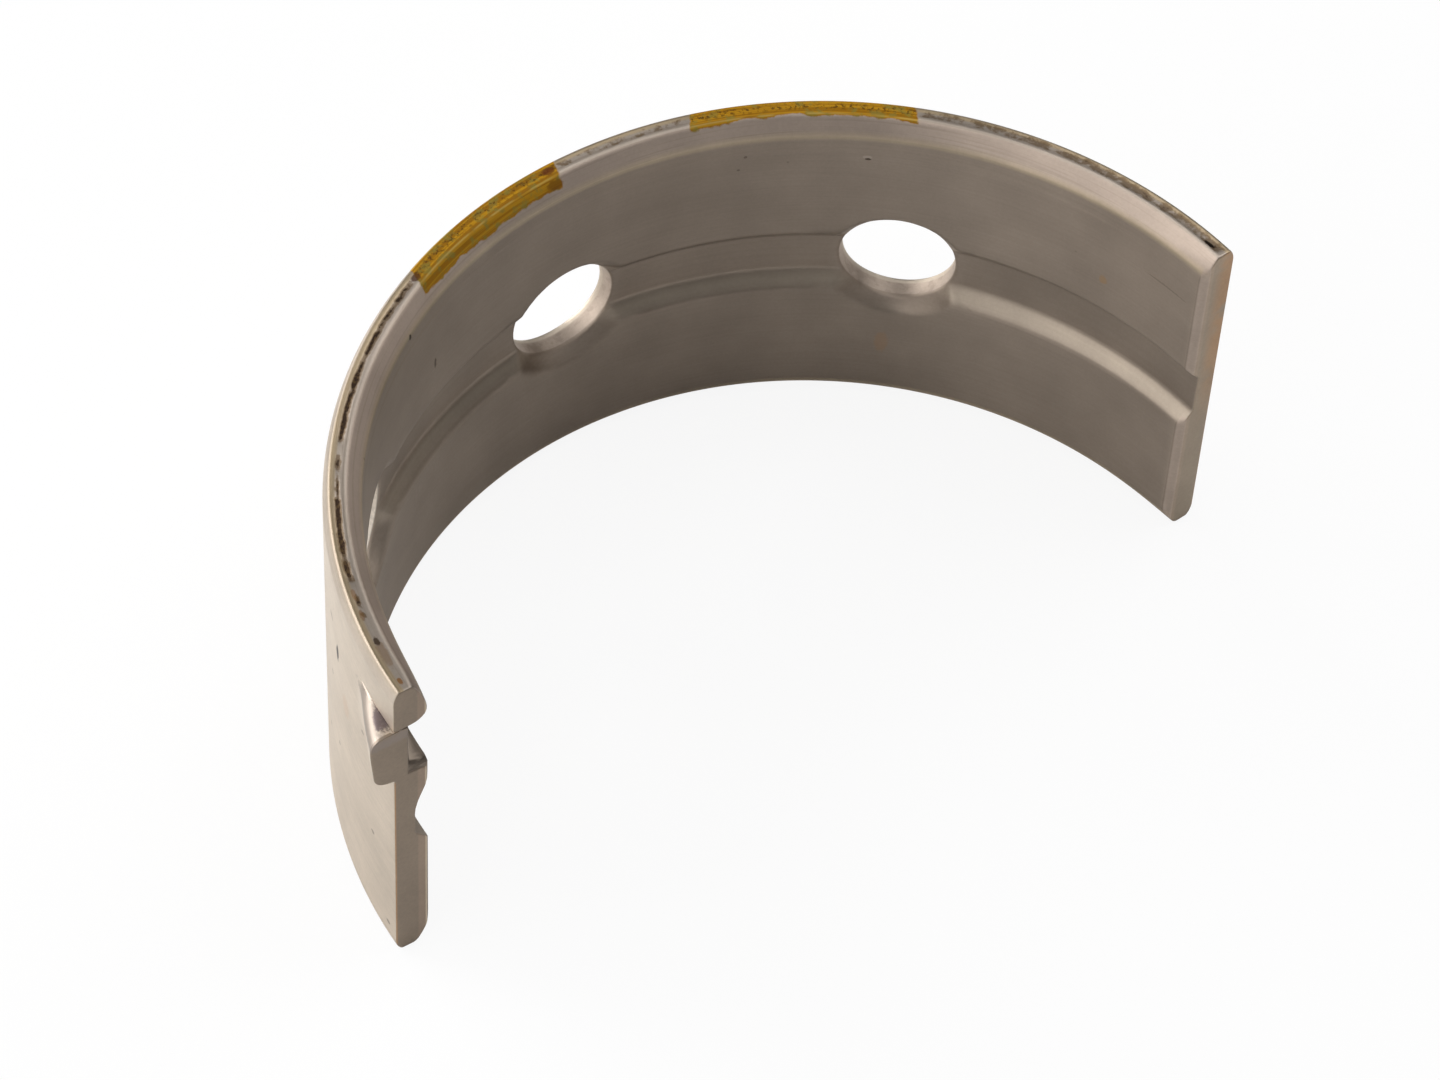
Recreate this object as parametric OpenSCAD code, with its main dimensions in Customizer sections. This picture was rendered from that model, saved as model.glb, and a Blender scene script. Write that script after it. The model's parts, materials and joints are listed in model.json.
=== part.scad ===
// Half shell of an engine main bearing, rolled from thin steel strip and plated.
// The Z axis is the bore axis, the crown of the shell points to +Y and z = 0 is mid width.
// The shell is drawn free, so its parting faces stand a little short of a half turn apart.

/* [Shell] */
// Radius of the running surface
bore_r = 18; // [14:0.1:30]
// Thickness of the rolled strip
wall = 1.5; // [1.3:0.05:2.5]
// Width from side face to side face
shell_w = 16.5; // [15:0.1:26]
// Angle between the two parting faces
arc_span = 174; // [166:0.5:180]

/* [Edges] */
// Radial size of the chamfer between a side face and the running surface
inner_chamfer_r = 0.62; // [0.3:0.02:0.8]
// Axial size of the chamfer between a side face and the running surface
inner_chamfer_z = 0.62; // [0.3:0.02:1]
// Radial size of the chamfer between a side face and the back
outer_chamfer_r = 0.25; // [0.1:0.05:0.4]
// Axial size of the chamfer between a side face and the back
outer_chamfer_z = 0.6; // [0.2:0.05:1]
// Leg of the edge break along the inner edge of each parting face
parting_break = 0.12; // [0.04:0.02:0.3]

/* [Oil groove] */
// Width of the groove at the running surface
groove_mouth_w = 3.2; // [2.6:0.1:4]
// Width of the groove floor
groove_floor_w = 2.1; // [1.2:0.1:2.5]
// Depth of the groove below the running surface
groove_depth = 0.6; // [0.3:0.05:0.8]

/* [Oil holes] */
// Number of oil holes, spread evenly about the crown
hole_count = 3; // [1:1:3]
// Angle between neighbouring oil holes
hole_pitch = 44; // [30:1:60]
// Diameter of an oil hole
hole_d = 4.7; // [3.5:0.1:5.5]
// Radial depth of the 45 degree countersink round an oil hole
countersink = 0.5; // [0.2:0.05:0.8]

/* [Locating tang] */
// Height of the middle of the tang above mid width
tang_z = 4.5; // [3.6:0.1:5]
// Width of the tang along the bore axis
tang_w = 3; // [2:0.1:3.6]
// Length of the tang from the parting face to its bend
tang_len = 2.45; // [1.8:0.05:4]
// How far the tang is pushed out at the parting face
tang_lift = 0.95; // [0.5:0.05:1.3]
// Radius on the two outer corners of the tang
tang_corner = 0.4; // [0.1:0.05:0.6]
// Gap of the sheared slit above the tang
tang_slit = 0.1; // [0.05:0.01:0.2]
// Radius that the shear leaves on the wall above the tang
die_roll = 0.55; // [0.2:0.05:0.9]

/* [Hidden] */
$fn = 180;
outer_r = bore_r + wall;
half_w = shell_w / 2;
half_span = arc_span / 2;
groove_r = bore_r + groove_depth;
tang_low = tang_z - tang_w / 2;
tang_top = tang_z + tang_w / 2;
tang_turn = tang_len / outer_r * 180 / PI;
tang_tilt = atan(tang_lift / tang_len);
// Length by which a cutting shape stands clear of what it cuts
clear = 1;
// Angle by which a turned cutting shape runs past a parting face
clear_turn = 6;

// Section of the strip with its chamfers and the oil groove, bore axis on the left
module strip_section() {
    polygon([
        [outer_r - outer_chamfer_r, -half_w],
        [outer_r, -half_w + outer_chamfer_z],
        [outer_r, half_w - outer_chamfer_z],
        [outer_r - outer_chamfer_r, half_w],
        [bore_r + inner_chamfer_r, half_w],
        [bore_r, half_w - inner_chamfer_z],
        [bore_r, groove_mouth_w / 2],
        [groove_r, groove_floor_w / 2],
        [groove_r, -groove_floor_w / 2],
        [bore_r, -groove_mouth_w / 2],
        [bore_r, -half_w + inner_chamfer_z],
        [bore_r + inner_chamfer_r, -half_w]
    ]);
}

// The rolled strip from one parting face to the other
module rolled_strip() {
    rotate([0, 0, 90 - half_span])
        rotate_extrude(angle = arc_span)
            strip_section();
}

// Puts a shape at a parting face: X runs out along the face, Y runs out of it, side is 1 at the tang
module at_parting_face(side) {
    mirror([side < 0 ? 1 : 0, 0, 0])
        rotate([0, 0, 90 + half_span])
            children();
}

// Turns a section about the bore axis from the bend of the tang to past the parting face
module tang_sweep() {
    rotate([0, 0, -tang_turn])
        rotate_extrude(angle = tang_turn + clear_turn)
            children();
}

// Opening that the tang is sheared from, with the rolled edge of the wall above it
module tang_opening() {
    at_parting_face(1)
        tang_sweep() {
            translate([bore_r - clear, tang_low])
                square([wall + 2 * clear, tang_w]);
            difference() {
                translate([bore_r - clear, tang_top - clear])
                    square([clear + die_roll, clear + die_roll]);
                translate([bore_r + die_roll, tang_top + die_roll])
                    circle(r = die_roll);
            }
        }
}

// Section of the tang with its two rounded outer corners
module tang_section() {
    tang_h = tang_w - tang_slit;
    corner_x = outer_r - tang_corner;
    translate([bore_r, tang_low])
        square([wall - tang_corner, tang_h]);
    translate([bore_r, tang_low + tang_corner])
        square([wall, tang_h - 2 * tang_corner]);
    for (corner_z = [tang_low + tang_corner, tang_low + tang_h - tang_corner])
        translate([corner_x, corner_z])
            circle(r = tang_corner);
}

// Strip of wall bent outwards about the inner edge of its bend and trimmed flush with the parting face
module tang() {
    bend = [bore_r * cos(tang_turn), -bore_r * sin(tang_turn), 0];
    at_parting_face(1)
        intersection() {
            translate(bend)
                rotate([0, 0, -tang_tilt])
                    translate(-bend)
                        tang_sweep()
                            tang_section();
            translate([0, -outer_r, -half_w])
                cube([2 * outer_r, outer_r, shell_w]);
        }
}

// Wedge that breaks the inner edge of a parting face over the whole width
module edge_break() {
    reach = parting_break + clear;
    translate([bore_r, 0, -half_w - clear])
        linear_extrude(height = shell_w + 2 * clear)
            polygon([[-clear, -reach], [reach, clear], [-clear, clear]]);
}

// One oil hole through the crown with its countersink on the running surface
module oil_hole() {
    hole_r = hole_d / 2;
    rotate([-90, 0, 0]) {
        translate([0, 0, bore_r - clear])
            cylinder(h = wall + 2 * clear, r = hole_r);
        translate([0, 0, bore_r - clear])
            cylinder(h = clear + countersink, r1 = hole_r + countersink + clear, r2 = hole_r);
    }
}

// The whole half shell
module bearing_shell() {
    color("#a39686") {
        difference() {
            rolled_strip();
            tang_opening();
            for (side = [-1, 1])
                at_parting_face(side)
                    edge_break();
            for (i = [0 : hole_count - 1])
                rotate([0, 0, (i - (hole_count - 1) / 2) * hole_pitch])
                    oil_hole();
        }
        tang();
    }
}

bearing_shell();
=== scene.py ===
"""Dresses a packed main bearing half shell as it looks in its photograph.

The shell is made the way the real one is. A flat strip is meshed first, with its chamfers, oil
groove, oil holes and locating tang, and a node tree then rolls it round the bore and tears the
sheared rim. Flat places on the strip are (along, depth, height): millimetres along the running
surface from the crown, millimetres into the wall and millimetres above mid width.
"""

import json
import logging
import math
from dataclasses import dataclass
from enum import Enum
from typing import Any

import bpy
import numpy as np
from mathutils import Matrix, Vector


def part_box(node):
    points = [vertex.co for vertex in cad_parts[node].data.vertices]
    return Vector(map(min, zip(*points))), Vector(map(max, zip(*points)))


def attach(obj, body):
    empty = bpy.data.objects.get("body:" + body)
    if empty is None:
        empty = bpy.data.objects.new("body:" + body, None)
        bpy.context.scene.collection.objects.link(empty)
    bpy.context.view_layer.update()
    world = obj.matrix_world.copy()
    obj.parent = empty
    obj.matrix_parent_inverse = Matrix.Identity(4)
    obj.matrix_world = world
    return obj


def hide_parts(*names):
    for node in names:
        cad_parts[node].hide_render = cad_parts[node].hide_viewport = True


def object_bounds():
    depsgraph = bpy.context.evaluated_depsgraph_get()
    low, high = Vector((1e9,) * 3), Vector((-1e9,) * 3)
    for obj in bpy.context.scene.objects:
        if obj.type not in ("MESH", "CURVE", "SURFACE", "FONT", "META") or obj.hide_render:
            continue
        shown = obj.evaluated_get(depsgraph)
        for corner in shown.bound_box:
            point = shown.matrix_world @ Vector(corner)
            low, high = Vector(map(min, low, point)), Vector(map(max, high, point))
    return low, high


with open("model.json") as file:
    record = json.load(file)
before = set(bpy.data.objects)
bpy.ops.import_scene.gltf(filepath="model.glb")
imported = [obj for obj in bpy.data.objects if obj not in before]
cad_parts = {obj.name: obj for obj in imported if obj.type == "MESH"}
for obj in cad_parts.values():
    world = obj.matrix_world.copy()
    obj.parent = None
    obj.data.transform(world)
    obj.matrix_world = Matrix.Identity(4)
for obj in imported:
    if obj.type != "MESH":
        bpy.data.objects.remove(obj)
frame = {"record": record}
CAD_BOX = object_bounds()

LOG = logging.getLogger("bearing_shell")
CAD_NODE = "bearing_shell"
BODY = "root"
MM = 0.001

# Blender's names for the kinds of node that are used most
MATH = "ShaderNodeMath"
VECTOR = "ShaderNodeVectorMath"
RANGE = "ShaderNodeMapRange"
NOISE = "ShaderNodeTexNoise"

Array = np.ndarray
Socket = bpy.types.NodeSocket


class Field(Enum):
    """Names of the values that the strip's mesh carries to its node tree and its finish."""

    STRIP = "strip"
    TEAR = "tear"


class Join(Enum):
    """How masks are joined: where all of them hold, or where any one does."""

    ALL = "MULTIPLY"
    ANY = "MAXIMUM"


def linear(hex_colour: str) -> tuple[float, float, float, float]:
    """Turns an sRGB hex colour into linear light.

    Args:
        hex_colour: Six hex digits after a hash sign.

    Returns:
        Red, green and blue in linear light, and an alpha of 1.
    """
    channels = [int(hex_colour[i:i + 2], 16) / 255 for i in (1, 3, 5)]
    light = [c / 12.92 if c <= 0.04045 else ((c + 0.055) / 1.055) ** 2.4 for c in channels]
    return (light[0], light[1], light[2], 1.0)


def add_node(tree: bpy.types.NodeTree, kind: str, inputs: dict[int | str, Any] | None = None,
             out: int | str = 0, **settings: Any) -> Socket:
    """Adds a node with its settings and links.

    Args:
        tree: Node tree that gets the node.
        kind: Blender's name for the kind of node.
        inputs: Value or linked socket for each named or numbered input.
        out: Name or number of the output that is wanted.
        **settings: Properties of the node itself.

    Returns:
        The wanted output socket.
    """
    node = tree.nodes.new(kind)
    for name, value in settings.items():
        setattr(node, name, value)
    for key, value in (inputs or {}).items():
        socket = node.inputs[key]
        if isinstance(value, Socket):
            tree.links.new(value, socket)
        else:
            socket.default_value = value
    return node.outputs[out] if len(node.outputs) else None


def soft_max(a: Array, b: Array | float, width: Array | float) -> Array:
    """Larger of two depths, with the corner between them rounded over a width."""
    near = np.clip(width - np.abs(a - b), 0, None) / width
    return np.maximum(a, b) + near * near * width / 4


def soft_min(a: Array, b: Array | float, width: Array | float) -> Array:
    """Smaller of two depths, with the corner between them rounded over a width."""
    return -soft_max(-a, -b, width)


def quarter_round(radius: float, inside: Array) -> Array:
    """Gap between a square corner and its rounding, by the distance in from the corner."""
    return radius - np.sqrt(np.clip(radius**2 - (radius - inside) ** 2, 0, None))


def quads(ids: Array) -> Array:
    """Faces of a grid of vertex numbers, turning from its first axis to its second."""
    corners = (ids[:-1, :-1], ids[1:, :-1], ids[1:, 1:], ids[:-1, 1:])
    return np.stack(corners, axis=-1).reshape(-1, 4)


@dataclass(frozen=True)
class Tang:
    """Locating tang, bent out of the wall at the parting face on the -X side. Millimetres."""

    low: float = 3.0
    top: float = 6.0
    recess_low: float = 3.3
    drawn_low: float = 0.3
    drawn_run: float = 0.4
    outer_lift: float = 0.98
    inner_lift: float = 0.89
    outer_run: float = 2.52
    inner_run: float = 2.26
    corner: float = 0.55
    lean: float = 0.09
    slit: float = 0.1
    slit_reach: float = 0.32
    die_roll: float = 0.75
    steepness: float = 14.0
    drawn_steepness: float = 5.0

    def rise(self, from_end: Array, lift: float, run: float) -> Array:
        """Height of the bent strip over its unbent place, falling below zero past its bend."""
        return lift * (1 - from_end / run)

    def bulge(self, from_end: Array, z: Array) -> Array:
        """How far the tang stands out of the back.

        Args:
            from_end: Distance along the strip from the parting face.
            z: Height above mid width.

        Returns:
            Height over the back, below zero beside the tang.
        """
        inside = np.minimum(z - self.low, self.top - self.slit - z)
        rounding = quarter_round(self.corner, np.clip(inside, 0, self.corner))
        upper = z > (self.low + self.top) / 2
        wall_slope = np.where(upper, self.steepness, self.drawn_steepness)
        beside = wall_slope * np.clip(-inside, 0, None)
        lean = self.lean * np.clip(self.top - 2 * self.corner - z, 0, None)
        return self.rise(from_end, self.outer_lift, self.outer_run) - rounding - beside - lean

    def recess(self, from_end: Array, z: Array) -> Array:
        """Depth of the hollow that the bent strip leaves in the running surface.

        Args:
            from_end: Distance along the strip from the parting face.
            z: Height above mid width.

        Returns:
            Depth below the running surface, below zero beside the hollow.
        """
        floor = self.rise(from_end, self.inner_lift, self.inner_run)
        floor = floor - self.steepness * np.clip(z - self.top, 0, None)
        drawn = self.drawn_low * np.clip(1 - from_end / self.drawn_run, 0, 1) ** 2
        floor = floor - self.steepness * np.clip(self.recess_low - drawn - z, 0, None)
        roll = quarter_round(self.die_roll, np.clip(z - self.top, 0, self.die_roll))
        rolled = np.maximum(floor, roll * self.rise(from_end, 1.0, self.inner_run))
        return np.where(z >= self.top, rolled, floor)

    def slit_depth(self, from_end: Array, z: Array) -> Array:
        """Depth of the sheared slit above the tang, from either side of the wall.

        Args:
            from_end: Distance along the strip from the parting face.
            z: Height above mid width.

        Returns:
            Depth below the face, zero beside the slit.
        """
        centre = self.top - self.slit / 2
        inside = np.clip(1 - np.abs(z - centre) / (self.slit / 2), 0, 1)
        bent = np.clip(self.rise(from_end, 1.0, self.outer_run), 0, 1)
        return self.slit_reach * np.sqrt(inside * bent)


@dataclass(frozen=True)
class StripShape:
    """Sizes of the strip and the two curved faces that they give it. Millimetres and degrees."""

    bore_r: float
    half_w: float
    half_span: float
    hole_r: float
    hole_turns: tuple[float, ...]
    tang: Tang = Tang()
    wall: float = 1.5
    inner_chamfer: float = 0.6
    inner_chamfer_z: float = 0.74
    outer_roll_r: float = 0.23
    outer_roll_z: float = 0.65
    rim_drop: float = 0.1
    parting_break: float = 0.12
    plain_break: float = 0.28
    groove_mouth: float = 3.4
    groove_floor: float = 2.05
    groove_depth: float = 0.6
    countersink: float = 0.5
    rounding: float = 0.12
    worn_rounding: float = 0.18
    end_rounding: float = 1.1
    other_end_share: float = 0.45
    groove_end_share: float = 0.6
    edge_break: float = 0.06

    @classmethod
    def from_frame(cls, record: dict[str, Any]) -> "StripShape":
        """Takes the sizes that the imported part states.

        Args:
            record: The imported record.

        Returns:
            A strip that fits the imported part.
        """
        mounts = {m["name"]: m for m in record["mounts"]}
        holes = [m for name, m in mounts.items() if name.startswith("oil_hole")]
        turns = [math.degrees(math.atan2(m["axis"][0], m["axis"][1])) for m in holes]
        parting = mounts["parting_face_plain"]["pos_m"]
        return cls(
            bore_r=mounts["journal_bore"]["dims"]["r_mm"],
            half_w=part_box(CAD_NODE)[1].z / MM,
            half_span=math.degrees(math.atan2(parting[0], parting[1])),
            hole_r=holes[0]["dims"]["r_mm"],
            hole_turns=tuple(sorted(turns)),
        )

    @property
    def half_len(self) -> float:
        """Length of the running surface from the crown to a parting face."""
        return self.bore_r * math.radians(self.half_span)

    @property
    def side_z(self) -> float:
        """Height at which the curved faces end and the rounded rim begins."""
        return self.half_w - self.rim_drop

    @property
    def land_z(self) -> float:
        """Height at which the running surface ends and the inner chamfer begins."""
        return self.half_w - self.inner_chamfer_z

    @property
    def back_z(self) -> float:
        """Height at which the back ends and the rolled outer edge begins."""
        return self.half_w - self.outer_roll_z

    @property
    def rim_slope(self) -> float:
        """Fall of the rolled outer edge for each step outwards, where it meets the rim."""
        return self.outer_roll_z**2 / (2 * self.outer_roll_r * (self.outer_roll_z - self.rim_drop))

    def along(self, turn: float) -> float:
        """Place along the strip of an angle from the crown."""
        return self.bore_r * math.radians(turn)

    def groove(self, z: Array, rounding: Array) -> Array:
        """Depth of the oil groove, falling below zero past its mouth."""
        flank = (self.groove_mouth / 2 - np.abs(z)) * 2 / (self.groove_mouth - self.groove_floor)
        return soft_min(self.groove_depth * flank, self.groove_depth, rounding)

    def countersink_depth(self, u: Array, z: Array, turn: float) -> Array:
        """Depth of the cone round one oil hole, falling below zero past its mouth.

        Args:
            u: Place along the strip.
            z: Height above mid width.
            turn: Angle of the hole from the crown.

        Returns:
            Depth below the running surface.
        """
        angle = u / self.bore_r - math.radians(turn)
        across = np.hypot((self.bore_r + self.countersink) * np.sin(angle), z)
        reach = self.bore_r + self.countersink - (across - self.hole_r)
        # A cone is met only within 60 degrees of its hole
        return np.where(np.cos(angle) > 0.5, reach / np.cos(angle), 0) - self.bore_r

    def inner(self, u: Array, z: Array) -> Array:
        """Depth of the inner face below the running surface.

        Args:
            u: Place along the strip.
            z: Height above mid width.

        Returns:
            Depth into the wall.
        """
        over_tang = (u < 0) & (z > 0)
        near_end = self.end_rounding * np.exp(np.abs(u) - self.half_len)
        worn = self.worn_rounding + np.where(over_tang, near_end, self.other_end_share * near_end)
        chamfer = (np.abs(z) - self.land_z) * (self.inner_chamfer / self.inner_chamfer_z)
        depth = soft_max(chamfer, 0.0, worn)
        worn = self.rounding + np.where(over_tang, self.groove_end_share * near_end, 0.0)
        depth = soft_max(depth, self.groove(z, worn), worn)
        for turn in self.hole_turns:
            depth = soft_max(depth, self.countersink_depth(u, z, turn), self.rounding)
        edge_break = np.where(u > 0, self.plain_break, self.parting_break)
        depth = soft_max(depth, edge_break - (self.half_len - np.abs(u)), self.rounding / 2)
        from_end = u + self.half_len
        recess = self.tang.recess(from_end, z)
        depth = soft_max(depth, recess, self.rounding / 2)
        return depth + np.where(recess > 0, self.tang.slit_depth(from_end, z), 0)

    def outer(self, u: Array, z: Array) -> Array:
        """Depth of the back below the running surface, which is the wall and the tang on it.

        Args:
            u: Place along the strip.
            z: Height above mid width.

        Returns:
            Depth into the wall.
        """
        past = np.clip(np.abs(z) - self.back_z, 0, None) / self.outer_roll_z
        from_end = u + self.half_len
        back = self.wall - self.outer_roll_r * past**2
        back = soft_max(back, self.wall + self.tang.bulge(from_end, z), 2 * self.rounding)
        return back - self.tang.slit_depth(from_end, z)


@dataclass(frozen=True)
class Torn:
    """A stretch of rim where the shears tore the strip. Degrees from the crown and millimetres."""

    start: float
    end: float
    strength: float
    low: float
    high: float


@dataclass
class StripMesh:
    """Vertices and faces of the flat strip, gathered piece by piece. Millimetres."""

    shape: StripShape
    torn: tuple[Torn, ...]
    along_step: float = 0.2
    end_lines: tuple[float, ...] = (0.0, 0.12, 0.35, 0.65, 1.0, 2.2, 4.2, 6.5)
    window: float = 3.5
    columns: int = 14
    rings: int = 15
    back_rings: int = 5
    ring_crowding: float = 1.35
    wall_rings: int = 5
    rim_fade: float = 0.05
    tear_end_fade: float = 0.6
    tear_side_fade: float = 0.08

    def __post_init__(self) -> None:
        """Starts with nothing gathered."""
        self.points: list[Array] = []
        self.faces: list[Array] = []
        self.count = 0

    def u_lines(self) -> Array:
        """Places the grid's lines along the strip, close together at the parting faces.

        Returns:
            Places along the strip, rising.
        """
        s = self.shape
        near = np.array(self.end_lines) * s.edge_break
        inner_end = s.half_len - near[-1]
        steps = int(2 * inner_end / self.along_step)
        middle = np.linspace(-inner_end, inner_end, steps + 1)[1:-1]
        return np.concatenate([near - s.half_len, middle, (s.half_len - near)[::-1]])

    def z_lines(self) -> Array:
        """Places the grid's lines across the strip, close together at each edge of the section.

        Returns:
            Heights above mid width, rising.
        """
        s, t = self.shape, self.shape.tang
        fine = 2.2 * s.rounding
        # Each station is a height and the step of the lines above it
        stations = [
            (-s.side_z, 0.075), (-s.land_z + fine, 0.3), (-self.window, 0.32),
            (-s.groove_mouth / 2 - fine / 2, 0.06), (-s.groove_floor / 2 + fine / 2, 0.4),
            (s.groove_floor / 2 - fine / 2, 0.06), (s.groove_mouth / 2 + fine / 2, 0.32),
            (t.low - fine, 0.07), (self.window, 0.45),
            (t.top - t.corner - 0.05, 0.09), (t.top - 1.2 * t.slit, 0.025),
            (t.top + 0.4 * t.slit, 0.07), (t.top + t.die_roll, 0.12),
            (s.land_z - fine, 0.075), (s.side_z, 0.0),
        ]
        lines = [np.array([stations[0][0]])]
        for (low, step), (high, _) in zip(stations, stations[1:]):
            lines.append(np.linspace(low, high, max(1, math.ceil((high - low) / step)) + 1)[1:])
        return np.concatenate(lines)

    def add(self, along: Array, depth: Array, height: Array) -> Array:
        """Gathers vertices.

        Args:
            along: Places along the strip.
            depth: Depths into the wall.
            height: Heights above mid width.

        Returns:
            Their numbers, in the same layout.
        """
        along, depth, height = np.broadcast_arrays(along, depth, height)
        self.points.append(np.stack([along, depth, height], axis=-1).reshape(-1, 3))
        ids = np.arange(self.count, self.count + along.size).reshape(along.shape)
        self.count += along.size
        return ids

    def edge_inset(self, u: Array) -> Array:
        """How far the broken edge of a parting face lies inside the section."""
        radius = self.shape.edge_break
        return quarter_round(radius, np.clip(self.shape.half_len - np.abs(u), 0, radius))

    def rim_fall(self, share: Array, width: Array) -> Array:
        """Fall of the rounded rim below its middle.

        Args:
            share: Place across the rim, from 0 at the inner arris to 1 at the outer one.
            width: Width of the rim there.

        Returns:
            Fall in millimetres.
        """
        s = self.shape
        inner_blend, outer_blend = 2 * s.rim_drop, 2 * s.rim_drop / s.rim_slope
        from_inner = np.clip(inner_blend - share * width, 0, None)
        from_outer = np.clip(outer_blend - (1 - share) * width, 0, None)
        inner_fall = from_inner**2 / (2 * inner_blend)
        return inner_fall + s.rim_slope * from_outer**2 / (2 * outer_blend)

    def gather_faces(self) -> None:
        """Meshes both curved faces, both rims and both parting faces."""
        s = self.shape
        u, z = self.u_lines(), self.z_lines()
        grid_u, grid_z = np.meshgrid(u, z, indexing="ij")
        inset = self.edge_inset(grid_u)
        rim_z = s.side_z - self.edge_inset(u)[:, None]
        inner_d = s.inner(grid_u, grid_z) + inset
        outer_d = s.outer(grid_u, grid_z) - inset
        height = np.clip(grid_z, -rim_z, rim_z)
        inner_ids = self.add(grid_u, inner_d, height)
        outer_ids = self.add(grid_u, outer_d, height)
        even, turned = (np.linspace(0, last, self.columns + 1) for last in (1, math.pi))
        share = ((1 - np.cos(turned)) / 2 + even) / 2
        across = share[None, 1:-1]
        rims = []
        for row, sign in ((0, -1), (-1, 1)):
            low, high = inner_d[:, row, None], outer_d[:, row, None]
            fall = self.rim_fall(across, high - low) - s.rim_drop
            middle = self.add(u[:, None], low + (high - low) * across, sign * (rim_z - fall))
            rims.append(np.hstack([inner_ids[:, row, None], middle, outer_ids[:, row, None]]))
        for end, flip in ((0, True), (-1, False)):
            low, high = inner_d[end, 1:-1, None], outer_d[end, 1:-1, None]
            middle = self.add(u[end], low + (high - low) * across, z[1:-1, None])
            body = np.hstack([inner_ids[end, 1:-1, None], middle, outer_ids[end, 1:-1, None]])
            cap = np.vstack([rims[0][end], body, rims[1][end]])
            self.faces.append(quads(cap if flip else cap.T))
        self.faces.append(quads(rims[0].T))
        self.faces.append(quads(rims[1]))
        self.gather_holes(u, z, inner_ids, outer_ids)

    def gather_holes(self, u: Array, z: Array, inner_ids: Array, outer_ids: Array) -> None:
        """Cuts a window in both curved faces at each oil hole, fills it and meshes its wall.

        Args:
            u: Lines along the strip.
            z: Lines across the strip.
            inner_ids: Vertex numbers of the inner face.
            outer_ids: Vertex numbers of the back.
        """
        kept = np.ones((len(u) - 1, len(z) - 1), bool)
        sides = (-self.window, self.window)
        rows = [int(np.argmin(np.abs(z - side))) for side in sides]
        for turn in self.shape.hole_turns:
            centre = self.shape.along(turn)
            lines = [int(np.argmin(np.abs(u - centre - side))) for side in sides]
            kept[lines[0]:lines[1], rows[0]:rows[1]] = False
            window = (slice(lines[0], lines[1] + 1), slice(rows[0], rows[1] + 1))
            edge_u, edge_z = np.meshgrid(u[window[0]], z[window[1]], indexing="ij")
            inner_edge = self.fill(turn, edge_u, edge_z, inner_ids[window], False)
            outer_edge = self.fill(turn, edge_u, edge_z, outer_ids[window], True)
            self.wall(inner_edge, outer_edge)
        self.faces.append(quads(inner_ids)[kept.reshape(-1)])
        self.faces.append(quads(outer_ids[:, ::-1])[kept[:, ::-1].reshape(-1)])

    @staticmethod
    def border(grid: Array) -> Array:
        """Border of a grid, turning from its first axis to its second, with no corner twice."""
        return np.concatenate([grid[:-1, 0], grid[-1, :-1], grid[:0:-1, -1], grid[0, :0:-1]])

    def fill(self, turn: float, edge_u: Array, edge_z: Array, ids: Array, back: bool) -> Array:
        """Fills a window with rings that close in on an oil hole.

        Args:
            turn: Angle of the hole from the crown.
            edge_u: Lines along the strip in the window.
            edge_z: Lines across the strip in the window.
            ids: Vertex numbers in the window.
            back: Whether the window is in the back.

        Returns:
            Vertex numbers of the last ring, at the edge of the hole's wall.
        """
        s, edge = self.shape, self.shape.edge_break
        face = s.outer if back else s.inner
        into = -1 if back else 1
        start_u, start_z, ring = (self.border(a) for a in (edge_u, edge_z, ids))
        angle = np.arctan2(start_z, start_u - s.along(turn))
        mean_r = s.bore_r + (s.wall if back else s.countersink)
        rings = self.back_rings if back else self.rings
        # Each ring is its step towards the hole, its clearance from the wall and its drop into it
        plan = [(1 - (1 - i / rings) ** self.ring_crowding, edge, 0.0) for i in range(1, rings + 1)]
        for bend in (math.pi / 6, math.pi / 3, math.pi / 2):
            plan.append((1.0, edge * (1 - math.sin(bend)), edge * (1 - math.cos(bend))))
        for step, clear, drop in plan:
            rim_r = s.hole_r + clear
            hole_u = s.along(turn) + s.bore_r * np.arcsin(rim_r * np.cos(angle) / mean_r)
            hole_z = rim_r * np.sin(angle)
            ring_u = start_u + (hole_u - start_u) * step
            ring_z = start_z + (hole_z - start_z) * step
            new = self.add(ring_u, face(ring_u, ring_z) + into * drop, ring_z)
            self.ring_faces(ring, new, back)
            ring = new
        return ring

    def ring_faces(self, ring: Array, new: Array, flip: bool) -> None:
        """Joins two closed rings of vertices with faces."""
        closed = np.stack([np.append(ring, ring[0]), np.append(new, new[0])], axis=1)
        self.faces.append(quads(closed[::-1] if flip else closed))

    def wall(self, inner_edge: Array, outer_edge: Array) -> None:
        """Meshes the wall of an oil hole between its two edges.

        Args:
            inner_edge: Vertex numbers at the inner edge.
            outer_edge: Vertex numbers at the outer edge.
        """
        points = np.concatenate(self.points)
        start, end = points[inner_edge], points[outer_edge]
        ring = inner_edge
        for i in range(1, self.wall_rings):
            place = start + (end - start) * i / self.wall_rings
            new = self.add(place[:, 0], place[:, 1], place[:, 2])
            self.ring_faces(ring, new, False)
            ring = new
        self.ring_faces(ring, outer_edge, False)

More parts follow.
